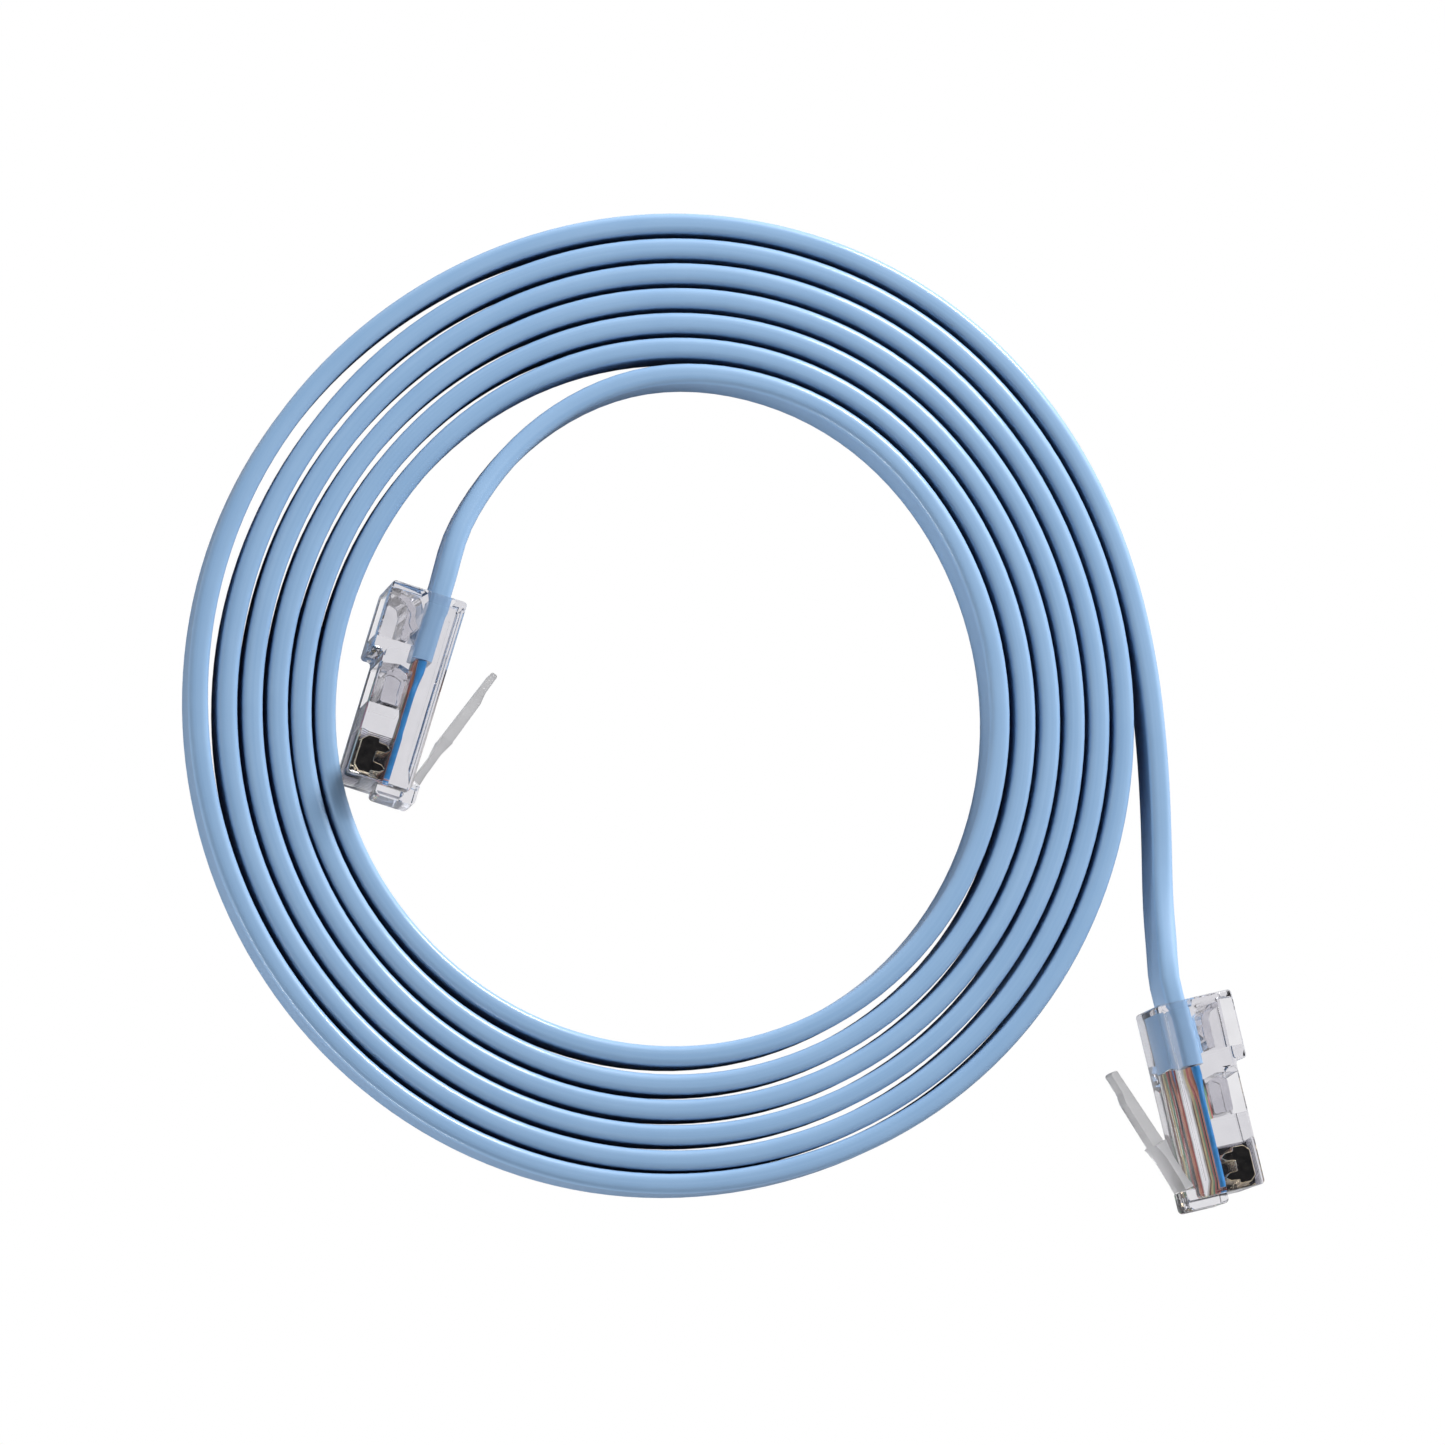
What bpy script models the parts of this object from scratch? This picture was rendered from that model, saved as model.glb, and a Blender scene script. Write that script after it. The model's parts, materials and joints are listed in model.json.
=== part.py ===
"""A flat eight-conductor patch cable with a clear modular plug on each end, wound into a flat coil.

The cable stands on its narrow edge in the coil, and each plug lies on its narrow side on the same table.
World frame: +Z up from the table, origin under the middle of the two plugs' bounding box.
Each plug has its own frame, an empty: +X from the nose to the cable entry, +Z to the contacts, Y across.
"""

import math

import bmesh
import bpy
import numpy as np
from mathutils import Matrix, Vector

MM = 0.001
GAP = 0.3 * MM

# Cutters run this far past a face, and hollows this far into the next hollow.
PAST_FACE = 1.0 * MM
INTO_NEXT = 0.2 * MM

# Cable: a flat jacket with rounded edges.
CABLE_WIDTH = 6.6 * MM
CABLE_THICKNESS = 2.1 * MM
COIL_CENTRE = Vector((-13.16, 19.41, 0.0)) * MM
COIL_INNER_RADIUS = 34.9 * MM
COIL_OUTER_RADIUS = 51.3 * MM
COIL_EDGE_ROUND = 1.2 * MM
COIL_STEPS = 96
END_STEP = 4.0 * MM
STRAIGHT_OUT_OF_PLUG = 2.5 * MM

# Free ends of the cable, plug to coil: X and Y from the coil's centre, Z above the table.
INNER_END = [
    (-22.45, 16.9, 5.45),
    (-20.3, 21.1, 4.75),
    (-17.2, 25.3, 4.0),
    (-13.2, 29.1, 3.5),
    (-8.6, 32.05, 3.3),
]
OUTER_END = [
    (50.95, -24.3, 5.2),
    (50.86, -19.6, 4.0),
    (50.86, -14.5, 3.3),
]

# Plug pose: the corner of nose face and latch side, from the coil's centre, and the nose's heading.
PLUG_POSES = {
    "plug_a": {"corner": (-27.55, -9.5), "nose_heading": -106.6, "contact_side": -1},
    "plug_b": {"corner": (53.76, -49.64), "nose_heading": -76.6, "contact_side": 1},
}

# Housing, in the plug's frame.
PLUG_WIDTH = 11.68 * MM
PLUG_LENGTH = 20.1 * MM
FRONT_HEIGHT = 6.7 * MM
REAR_HEIGHT = 7.9 * MM
STEP_X = 12.9 * MM
EDGE_ROUND = 0.4 * MM
LATCH_WIDTH = 6.0 * MM
ROOT_BLOCK = {"front": -1.0 * MM, "rear": 1.2 * MM, "bottom": -1.0 * MM, "top": 3.2 * MM}
ROOT_BLOCK_ROUND = 0.45 * MM
SIDE_GROOVE = {"start": 1.6 * MM, "end": 18.9 * MM, "height": 0.6 * MM, "size": 0.25 * MM}

# Passages through the housing.
CORE_HEIGHT = 2.6 * MM
JACKET_END_X = 13.4 * MM
JACKET_PASSAGE_FRONT = 12.9 * MM
JACKET_PASSAGE_WIDTH = 7.3 * MM
MOUTH_FLARE = 0.5 * MM
WIRE_PASSAGE_FRONT = 0.4 * MM
WIRE_PASSAGE_WIDTH = 8.3 * MM
WIRE_PASSAGE_HEIGHT = 1.3 * MM
FUNNEL_LENGTH = 1.5 * MM

# Conductors and contacts.
PINS = 8
PIN_PITCH = 1.02 * MM
WIRE_START_PITCH = 0.88 * MM
WIRE_DIAMETER = 0.8 * MM
WIRE_END_X = 0.65 * MM
WIRE_SPREAD_X = 8.5 * MM
WIRE_STRAIGHT = 1.2 * MM
BLADE_THICKNESS = 0.32 * MM
SLOT_WIDTH = 0.6 * MM
SLOT_FRONT = 0.3 * MM
SLOT_LIP = {"nose": 5.1 * MM, "inside": 4.9 * MM}
BLADE = {"front": 0.65 * MM, "rear": 4.45 * MM, "edge": 6.1 * MM, "waist": 4.3 * MM, "point": 3.35 * MM}
TINE_CENTRES = (1.65 * MM, 3.45 * MM)
TINE_HALF_WIDTH = 0.32 * MM
TINE_POINT_SHARE = 0.4
BLADE_ROUND = 0.5 * MM

# Clamps that crimping drives down from the contact side.
JACKET_CLAMP = {"front": 14.9 * MM, "rear": 17.9 * MM, "bottom": 4.55 * MM, "top": 5.3 * MM}
CLAMP_TOOTH = {"x": 16.4 * MM, "point": 4.15 * MM, "half_width": 0.7 * MM}
JACKET_CLAMP_WIDTH = 5.8 * MM
JACKET_CLAMP_ROUND = 0.25 * MM
WIRE_CLAMP = {"front": 8.1 * MM, "rear": 11.4 * MM, "bottom": 3.55 * MM, "top": 5.5 * MM}
WIRE_CLAMP_WIDTH = 7.0 * MM
WIRE_CLAMP_ROUND = {"front": 0.3 * MM, "rear": 1.2 * MM}
CLAMP_POCKET_MARGIN = 0.4 * MM

# Latch: one arm from its root at the nose, hinged there.
HINGE = Vector((1.5, 0.0, -0.6)) * MM
LATCH_REST_ANGLE = math.radians(19.0)
LATCH_LENGTH = 13.9 * MM
LATCH_SHOULDER = 5.3 * MM
LATCH_TAB_WIDTH = 3.25 * MM
LATCH_ROOT_THICKNESS = 0.7 * MM
LATCH_MID_THICKNESS = 1.25 * MM
LATCH_TIP_THICKNESS = 0.75 * MM
LATCH_THIN_TO = 3.6 * MM
LATCH_STEP_DOWN = {"start": 10.5 * MM, "end": 11.7 * MM}
LATCH_TIP_ROUND = 0.2 * MM

WIRE_COLOURS = [
    ("blue", (0.02, 0.16, 0.52)),
    ("orange", (0.75, 0.2, 0.05)),
    ("black", (0.02, 0.02, 0.02)),
    ("red", (0.55, 0.03, 0.03)),
    ("green", (0.05, 0.35, 0.12)),
    ("yellow", (0.8, 0.6, 0.1)),
    ("brown", (0.22, 0.1, 0.05)),
    ("white", (0.85, 0.85, 0.83)),
]


def clear_scene():
    for obj in list(bpy.data.objects):
        bpy.data.objects.remove(obj, do_unlink=True)


def new_collection(name):
    collection = bpy.data.collections.new(name)
    bpy.context.scene.collection.children.link(collection)
    return collection


def make_material(name, colour, roughness, metallic=0.0, transmission=0.0):
    material = bpy.data.materials.new(name)
    material.use_nodes = True
    shader = material.node_tree.nodes["Principled BSDF"]
    shader.inputs["Base Color"].default_value = (*colour, 1.0)
    shader.inputs["Roughness"].default_value = roughness
    shader.inputs["Metallic"].default_value = metallic
    shader.inputs["Transmission Weight"].default_value = transmission
    return material


def round_corners(outline, steps=3):
    """Points of a closed outline of (x, y, corner radius), with an arc at each rounded corner."""
    points = []
    count = len(outline)
    for index, (x, y, radius) in enumerate(outline):
        corner = Vector((x, y))
        if radius == 0.0:
            points.append(corner)
            continue
        back = (Vector(outline[index - 1][:2]) - corner).normalized()
        ahead = (Vector(outline[(index + 1) % count][:2]) - corner).normalized()
        half_angle = back.angle(ahead) / 2
        centre = corner + (back + ahead).normalized() * radius / math.sin(half_angle)
        start = corner + back * radius / math.tan(half_angle) - centre
        end = corner + ahead * radius / math.tan(half_angle) - centre
        sweep_angle = start.angle_signed(end)
        for step in range(steps + 1):
            turn = Matrix.Rotation(-sweep_angle * step / steps, 2)
            points.append(centre + turn @ start)
    return points


def mesh_of_curve(name, curve_object):
    """A mesh object with the curve's evaluated shape and its caps welded on. The curve is removed."""
    bpy.context.view_layer.update()
    graph = bpy.context.evaluated_depsgraph_get()
    mesh = bpy.data.meshes.new_from_object(curve_object.evaluated_get(graph))
    shape = bmesh.new()
    shape.from_mesh(mesh)
    bmesh.ops.remove_doubles(shape, verts=shape.verts, dist=0.001 * MM)
    bmesh.ops.recalc_face_normals(shape, faces=shape.faces)
    shape.to_mesh(mesh)
    shape.free()
    bpy.data.objects.remove(curve_object, do_unlink=True)
    mesh.name = name
    return bpy.data.objects.new(name, mesh)


def plate(name, outline, width, collection, parent, location=(0.0, 0.0, 0.0)):
    """A side outline in the plug's X and Z, extruded across its width about the location's Y."""
    curve = bpy.data.curves.new(name, "CURVE")
    curve.dimensions = "2D"
    curve.fill_mode = "BOTH"
    curve.extrude = width / 2
    points = round_corners(outline)
    spline = curve.splines.new("POLY")
    spline.points.add(len(points) - 1)
    for point, (x, y) in zip(spline.points, points):
        point.co = (x, y, 0.0, 1.0)
    spline.use_cyclic_u = True
    drawn = bpy.data.objects.new(name, curve)
    collection.objects.link(drawn)
    obj = mesh_of_curve(name, drawn)
    obj.data.transform(Matrix.Rotation(math.pi / 2, 4, "X"))
    obj.location = location
    obj.parent = parent
    collection.objects.link(obj)
    return obj


def box_outline(front, rear, bottom, top):
    return [(front, bottom, 0.0), (rear, bottom, 0.0), (rear, top, 0.0), (front, top, 0.0)]


def finish(obj, material, smooth_angle=35.0):
    obj.data.materials.clear()
    obj.data.materials.append(material)
    if obj.type == "MESH":
        obj.data.shade_smooth()
        obj.data.set_sharp_from_angle(angle=math.radians(smooth_angle))
    return obj


def hide_cutter(obj):
    obj.hide_render = True
    obj.display_type = "WIRE"
    return obj


def add_bevel(obj, width, segments=2):
    bevel = obj.modifiers.new("round edges", "BEVEL")
    bevel.width = width
    bevel.segments = segments
    bevel.limit_method = "ANGLE"
    bevel.angle_limit = math.radians(40.0)


def add_boolean(obj, operation, other):
    boolean = obj.modifiers.new(f"{operation.lower()} {other.name}", "BOOLEAN")
    boolean.operation = operation
    boolean.solver = "EXACT"
    boolean.object = other


def smooth_route(points, step):
    """Points about a step apart on the natural cubic spline through the given ones."""
    knots = np.array([tuple(point) for point in points])
    chords = np.linalg.norm(np.diff(knots, axis=0), axis=1)
    at = np.concatenate([[0.0], np.cumsum(chords)])
    count = len(knots)
    system = np.eye(count)
    right = np.zeros((count, 3))
    for i in range(1, count - 1):
        system[i, i - 1 : i + 2] = chords[i - 1], 2 * (chords[i - 1] + chords[i]), chords[i]
        slope_after = (knots[i + 1] - knots[i]) / chords[i]
        slope_before = (knots[i] - knots[i - 1]) / chords[i - 1]
        right[i] = 6 * (slope_after - slope_before)
    bend = np.linalg.solve(system, right)
    samples = np.linspace(0.0, at[-1], max(2, round(at[-1] / step) + 1))
    smooth = []
    for value in samples:
        i = min(int(np.searchsorted(at, value, side="right")) - 1, count - 2)
        h = chords[i]
        a = (at[i + 1] - value) / h
        b = 1.0 - a
        curved = (a**3 - a) * bend[i] + (b**3 - b) * bend[i + 1]
        smooth.append(Vector(a * knots[i] + b * knots[i + 1] + curved * h * h / 6))
    return smooth


def sweep(name, points, radius, collection, half_extrude=0.0):
    """A tube along a POLY spline. A half extrude makes it a flat bar with round edges, standing up."""
    curve = bpy.data.curves.new(name, "CURVE")
    curve.dimensions = "3D"
    curve.twist_mode = "Z_UP"
    curve.fill_mode = "FULL"
    curve.bevel_depth = radius
    curve.extrude = half_extrude
    curve.bevel_resolution = 2
    curve.use_fill_caps = True
    spline = curve.splines.new("POLY")
    spline.points.add(len(points) - 1)
    for point, place in zip(spline.points, points):
        point.co = (*place, 1.0)
    obj = bpy.data.objects.new(name, curve)
    collection.objects.link(obj)
    return obj


def plug_frame(name, pose, collection):
    """The empty that holds a plug, on its nose-and-latch corner line, at the middle of the width."""
    empty = bpy.data.objects.new(f"{name}_frame", None)
    heading = math.radians(pose["nose_heading"])
    to_rear = -Vector((math.cos(heading), math.sin(heading), 0.0))
    across = Vector((0.0, 0.0, pose["contact_side"]))
    to_contacts = to_rear.cross(across)
    corner = COIL_CENTRE + Vector((*pose["corner"], 0.0)) * MM
    corner.z = PLUG_WIDTH / 2
    rotation = Matrix((to_rear, across, to_contacts)).transposed()
    empty.matrix_world = Matrix.Translation(corner) @ rotation.to_4x4()
    collection.objects.link(empty)
    return empty


def pin_offset(pin, pitch):
    return (pin - (PINS + 1) / 2) * pitch


def housing_cutters(name, frame, cutters):
    """Every hollow of the housing, each open to the outside or to the next one."""
    half_jacket = CABLE_THICKNESS / 2 + GAP
    floor = CORE_HEIGHT - half_jacket
    roof = CORE_HEIGHT + half_jacket
    rear = PLUG_LENGTH
    jacket_passage = [
        (JACKET_PASSAGE_FRONT, floor, 0.0),
        (rear - 2 * MOUTH_FLARE, floor, 0.0),
        (rear + INTO_NEXT, floor - MOUTH_FLARE, 0.0),
        (rear + INTO_NEXT, roof + MOUTH_FLARE, 0.0),
        (rear - 2 * MOUTH_FLARE, roof, 0.0),
        (JACKET_PASSAGE_FRONT, roof, 0.0),
    ]
    half_wire = WIRE_PASSAGE_HEIGHT / 2
    half_funnel = half_jacket - INTO_NEXT
    funnel_front = JACKET_PASSAGE_FRONT - FUNNEL_LENGTH
    funnel_rear = JACKET_PASSAGE_FRONT + INTO_NEXT
    wire_passage = [
        (WIRE_PASSAGE_FRONT, CORE_HEIGHT - half_wire, 0.0),
        (funnel_front, CORE_HEIGHT - half_wire, 0.0),
        (funnel_rear, CORE_HEIGHT - half_funnel, 0.0),
        (funnel_rear, CORE_HEIGHT + half_funnel, 0.0),
        (funnel_front, CORE_HEIGHT + half_wire, 0.0),
        (WIRE_PASSAGE_FRONT, CORE_HEIGHT + half_wire, 0.0),
    ]
    slot_floor = CORE_HEIGHT + half_wire - INTO_NEXT
    slot = [
        (SLOT_FRONT, slot_floor, 0.0),
        (BLADE["rear"] + GAP, slot_floor, 0.0),
        (BLADE["rear"] + GAP, FRONT_HEIGHT + PAST_FACE, 0.0),
        (-PAST_FACE, FRONT_HEIGHT + PAST_FACE, 0.0),
        (-PAST_FACE, SLOT_LIP["nose"], 0.0),
        (SLOT_FRONT, SLOT_LIP["inside"], 0.0),
    ]
    jacket_pocket = box_outline(
        JACKET_CLAMP["front"] - CLAMP_POCKET_MARGIN,
        JACKET_CLAMP["rear"] + CLAMP_POCKET_MARGIN,
        roof - INTO_NEXT,
        REAR_HEIGHT + PAST_FACE,
    )
    wire_pocket = box_outline(
        WIRE_CLAMP["front"] - CLAMP_POCKET_MARGIN,
        WIRE_CLAMP["rear"] + CLAMP_POCKET_MARGIN,
        slot_floor,
        FRONT_HEIGHT + PAST_FACE,
    )
    groove = box_outline(
        SIDE_GROOVE["start"],
        SIDE_GROOVE["end"],
        SIDE_GROOVE["height"] - SIDE_GROOVE["size"] / 2,
        SIDE_GROOVE["height"] + SIDE_GROOVE["size"] / 2,
    )
    made = [
        plate(f"{name}_cut_jacket", jacket_passage, JACKET_PASSAGE_WIDTH, cutters, frame),
        plate(f"{name}_cut_wires", wire_passage, WIRE_PASSAGE_WIDTH, cutters, frame),
        plate(f"{name}_cut_jacket_pocket", jacket_pocket, JACKET_CLAMP_WIDTH + 2 * GAP, cutters, frame),
        plate(f"{name}_cut_wire_pocket", wire_pocket, WIRE_CLAMP_WIDTH + 2 * GAP, cutters, frame),
    ]
    for pin in range(1, PINS + 1):
        place = (0.0, pin_offset(pin, PIN_PITCH), 0.0)
        made.append(plate(f"{name}_cut_slot_{pin}", slot, SLOT_WIDTH, cutters, frame, place))
    for side in (-1, 1):
        place = (0.0, side * PLUG_WIDTH / 2, 0.0)
        depth = 2 * SIDE_GROOVE["size"]
        made.append(plate(f"{name}_cut_groove_{side + 2}", groove, depth, cutters, frame, place))
    for cutter in made:
        hide_cutter(cutter)


def build_housing(name, frame, parts, cutters, material):
    body = [
        (0.0, 0.0, 0.0),
        (PLUG_LENGTH, 0.0, 0.0),
        (PLUG_LENGTH, REAR_HEIGHT, 0.0),
        (STEP_X, REAR_HEIGHT, 0.0),
        (STEP_X, FRONT_HEIGHT, 0.0),
        (0.0, FRONT_HEIGHT, 0.0),
    ]
    block = [
        (ROOT_BLOCK["front"], ROOT_BLOCK["bottom"], ROOT_BLOCK_ROUND),
        (ROOT_BLOCK["rear"], ROOT_BLOCK["bottom"], 0.0),
        (ROOT_BLOCK["rear"], ROOT_BLOCK["top"], 0.0),
        (ROOT_BLOCK["front"], ROOT_BLOCK["top"], ROOT_BLOCK_ROUND),
    ]
    housing = plate(f"{name}_housing", body, PLUG_WIDTH, parts, frame)
    add_bevel(housing, EDGE_ROUND)
    root_block = hide_cutter(plate(f"{name}_root_block", block, LATCH_WIDTH, cutters, frame))
    add_boolean(housing, "UNION", root_block)
    hollows = bpy.data.collections.new(f"{name}_hollows")
    cutters.children.link(hollows)
    housing_cutters(name, frame, hollows)
    cut = housing.modifiers.new("hollows", "BOOLEAN")
    cut.operation = "DIFFERENCE"
    cut.solver = "EXACT"
    cut.operand_type = "COLLECTION"
    cut.collection = hollows
    return finish(housing, material)


def build_latch(name, frame, parts, cutters, material):
    """The arm in its own frame: the hinge line at its origin, +X along the arm to the thumb tab."""
    root = LATCH_ROOT_THICKNESS / 2
    middle = LATCH_MID_THICKNESS / 2
    tip = LATCH_TIP_THICKNESS / 2
    arm = [
        (0.0, -root, 0.0),
        (LATCH_THIN_TO, -root, 0.0),
        (LATCH_SHOULDER, -middle, 0.0),
        (LATCH_STEP_DOWN["start"], -middle, 0.0),
        (LATCH_STEP_DOWN["end"], -tip, 0.0),
        (LATCH_LENGTH, -tip, LATCH_TIP_ROUND),
        (LATCH_LENGTH, tip, LATCH_TIP_ROUND),
        (LATCH_SHOULDER, middle, 0.0),
        (LATCH_THIN_TO, root, 0.0),
        (0.0, root, 0.0),
    ]
    latch = plate(f"{name}_latch", arm, LATCH_WIDTH, parts, frame, HINGE)
    latch.rotation_euler = (0.0, LATCH_REST_ANGLE, 0.0)
    side_cut = LATCH_WIDTH - LATCH_TAB_WIDTH
    past_shoulder = box_outline(LATCH_SHOULDER, LATCH_LENGTH + PAST_FACE, -PAST_FACE, PAST_FACE)
    for side in (-1, 1):
        place = (0.0, side * LATCH_WIDTH / 2, 0.0)
        cutter_name = f"{name}_cut_tab_{side + 2}"
        cutter = plate(cutter_name, past_shoulder, side_cut, cutters, latch, place)
        add_boolean(latch, "DIFFERENCE", hide_cutter(cutter))
    return finish(latch, material)


def build_clamps(name, frame, parts, material):
    jacket_clamp = [
        (JACKET_CLAMP["front"], JACKET_CLAMP["bottom"], 0.0),
        (CLAMP_TOOTH["x"] - CLAMP_TOOTH["half_width"], JACKET_CLAMP["bottom"], 0.0),
        (CLAMP_TOOTH["x"], CLAMP_TOOTH["point"], 0.0),
        (CLAMP_TOOTH["x"] + CLAMP_TOOTH["half_width"], JACKET_CLAMP["bottom"], 0.0),
        (JACKET_CLAMP["rear"], JACKET_CLAMP["bottom"], 0.0),
        (JACKET_CLAMP["rear"], JACKET_CLAMP["top"], JACKET_CLAMP_ROUND),
        (JACKET_CLAMP["front"], JACKET_CLAMP["top"], JACKET_CLAMP_ROUND),
    ]
    wire_clamp = [
        (WIRE_CLAMP["front"], WIRE_CLAMP["bottom"], 0.0),
        (WIRE_CLAMP["rear"], WIRE_CLAMP["bottom"], 0.0),
        (WIRE_CLAMP["rear"], WIRE_CLAMP["top"], WIRE_CLAMP_ROUND["rear"]),
        (WIRE_CLAMP["front"], WIRE_CLAMP["top"], WIRE_CLAMP_ROUND["front"]),
    ]
    finish(plate(f"{name}_jacket_clamp", jacket_clamp, JACKET_CLAMP_WIDTH, parts, frame), material)
    finish(plate(f"{name}_conductor_clamp", wire_clamp, WIRE_CLAMP_WIDTH, parts, frame), material)


def blade_outline():
    """A contact blade: its mating edge up, and a pointed tine down over each end of its conductor."""
    outline = [
        (BLADE["rear"], BLADE["waist"], 0.0),
        (BLADE["rear"], BLADE["edge"], BLADE_ROUND),
        (BLADE["front"], BLADE["edge"], BLADE_ROUND),
        (BLADE["front"], BLADE["waist"], 0.0),
    ]
    half_point = TINE_HALF_WIDTH * TINE_POINT_SHARE
    for centre in TINE_CENTRES:
        outline.append((centre - TINE_HALF_WIDTH, BLADE["waist"], 0.0))
        outline.append((centre - half_point, BLADE["point"], 0.0))
        outline.append((centre + half_point, BLADE["point"], 0.0))
        outline.append((centre + TINE_HALF_WIDTH, BLADE["waist"], 0.0))
    return outline


def build_contacts(name, frame, parts, material):
    for pin in range(1, PINS + 1):
        place = (0.0, pin_offset(pin, PIN_PITCH), 0.0)
        blade = plate(f"{name}_contact_{pin}", blade_outline(), BLADE_THICKNESS, parts, frame, place)
        finish(blade, material)


def build_conductors(name, frame, parts, materials):
    """Insulated conductors from the jacket's cut end to the contacts, spreading to the contact pitch."""
    for pin in range(1, PINS + 1):
        near = pin_offset(pin, WIRE_START_PITCH)
        apart = pin_offset(pin, PIN_PITCH)
        points = [
            Vector((JACKET_END_X - GAP, near, CORE_HEIGHT)),
            Vector((JACKET_END_X - GAP - WIRE_STRAIGHT, near, CORE_HEIGHT)),
            Vector((WIRE_SPREAD_X, apart, CORE_HEIGHT)),
            Vector((WIRE_END_X, apart, CORE_HEIGHT)),
        ]
        wire = sweep(f"{name}_conductor_{pin}", points, WIRE_DIAMETER / 2, parts)
        wire.parent = frame
        finish(wire, materials[pin - 1])


def build_plug(name, frame, parts, cutters, materials, wire_materials):
    build_housing(name, frame, parts, cutters, materials["clear"])
    build_latch(name, frame, parts, cutters, materials["clear"])
    build_clamps(name, frame, parts, materials["clear"])
    build_contacts(name, frame, parts, materials["contact"])
    build_conductors(name, frame, parts, wire_materials)


def build_coil(parts, material):
    """The wound turns as one turned ring, its profile down the outer side and back up the inner one."""
    outline = [
        (COIL_OUTER_RADIUS, CABLE_WIDTH, COIL_EDGE_ROUND),
        (COIL_OUTER_RADIUS, 0.0, COIL_EDGE_ROUND),
        (COIL_INNER_RADIUS, 0.0, COIL_EDGE_ROUND),
        (COIL_INNER_RADIUS, CABLE_WIDTH, COIL_EDGE_ROUND),
    ]
    profile = [Vector((x, 0.0, z)) for x, z in round_corners(outline, steps=2)]
    shape = bmesh.new()
    corners = [shape.verts.new(point) for point in profile]
    for index, corner in enumerate(corners):
        shape.edges.new((corners[index - 1], corner))
    mesh = bpy.data.meshes.new("cable_coil")
    shape.to_mesh(mesh)
    shape.free()
    coil = bpy.data.objects.new("cable_coil", mesh)
    coil.location = COIL_CENTRE
    parts.objects.link(coil)
    turn = coil.modifiers.new("turn", "SCREW")
    turn.steps = COIL_STEPS
    turn.render_steps = COIL_STEPS
    turn.use_merge_vertices = True
    turn.merge_threshold = 0.0001
    turn.use_normal_calculate = True
    return finish(coil, material)


def build_free_end(name, frame, route, parts, material):
    """The jacket from its cut end, straight out of the plug, and along the route to the coil."""
    inside = [JACKET_END_X, PLUG_LENGTH, PLUG_LENGTH + STRAIGHT_OUT_OF_PLUG]
    points = [frame.matrix_world @ Vector((x, 0.0, CORE_HEIGHT)) for x in inside]
    points += [COIL_CENTRE + Vector(point) * MM for point in route]
    half_extrude = (CABLE_WIDTH - CABLE_THICKNESS) / 2
    cable = sweep(name, smooth_route(points, END_STEP), CABLE_THICKNESS / 2, parts, half_extrude)
    return finish(cable, material)


def main():
    clear_scene()
    parts = new_collection("flat_patch_cable")
    cutters = new_collection("cutters")
    jacket = make_material("jacket", (0.25, 0.46, 0.68), 0.45)
    materials = {
        "clear": make_material("clear_plastic", (0.93, 0.93, 0.95), 0.08, transmission=0.9),
        "contact": make_material("contact_metal", (0.75, 0.55, 0.25), 0.3, metallic=1.0),
    }
    wires = [make_material(f"conductor_{word}", colour, 0.4) for word, colour in WIRE_COLOURS]
    wire_order = {"plug_a": wires, "plug_b": wires[::-1]}
    frames = {}
    for name, pose in PLUG_POSES.items():
        frames[name] = plug_frame(name, pose, parts)
        bpy.context.view_layer.update()
        build_plug(name, frames[name], parts, cutters, materials, wire_order[name])
    build_coil(parts, jacket)
    build_free_end("cable_inner_end", frames["plug_a"], INNER_END, parts, jacket)
    build_free_end("cable_outer_end", frames["plug_b"], OUTER_END, parts, jacket)


main()
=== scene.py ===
"""Looks of the flat patch cable: the wound jacket, the two clear plugs, and what shows through them.

Each plug has its own frame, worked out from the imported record: +X from the nose to the cable entry,
+Z to the contact side, Y across. The coil's and the plugs' sizes are in millimetres, and are turned
into metres with MM where a mesh is made. Sizes that carry MM are in metres already.
"""

import json
import math

import bmesh
import bpy
import numpy as np
from mathutils import Matrix, Vector


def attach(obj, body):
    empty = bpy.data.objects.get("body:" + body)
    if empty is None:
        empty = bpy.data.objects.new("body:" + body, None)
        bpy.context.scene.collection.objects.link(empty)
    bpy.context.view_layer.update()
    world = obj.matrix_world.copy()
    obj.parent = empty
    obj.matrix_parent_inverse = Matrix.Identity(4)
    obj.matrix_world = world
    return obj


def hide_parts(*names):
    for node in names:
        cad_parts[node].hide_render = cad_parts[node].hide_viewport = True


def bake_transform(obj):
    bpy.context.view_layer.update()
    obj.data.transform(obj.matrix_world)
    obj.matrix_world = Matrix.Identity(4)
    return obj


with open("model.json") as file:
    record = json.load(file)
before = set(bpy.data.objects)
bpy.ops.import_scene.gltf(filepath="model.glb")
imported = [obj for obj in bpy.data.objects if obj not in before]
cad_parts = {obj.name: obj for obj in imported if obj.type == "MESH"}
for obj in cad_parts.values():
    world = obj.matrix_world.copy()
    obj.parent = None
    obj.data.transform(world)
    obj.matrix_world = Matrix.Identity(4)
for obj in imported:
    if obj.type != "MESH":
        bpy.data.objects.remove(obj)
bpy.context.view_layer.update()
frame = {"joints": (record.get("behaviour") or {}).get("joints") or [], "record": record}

MM = 0.001
ROOT_BODY = "cable_assembly"

# Camera: a long lens, a little off straight down, moved towards the lower left.
VIEW_TARGET = Vector((-7.99, 18.15, 6.0)) * MM
VIEW_TILT = math.radians(11.5)
VIEW_SIDE = math.radians(52.0)
VIEW_DISTANCE = 1.0
VIEW_SPAN = 147.45 * MM
SENSOR_WIDTH = 36.0

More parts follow.
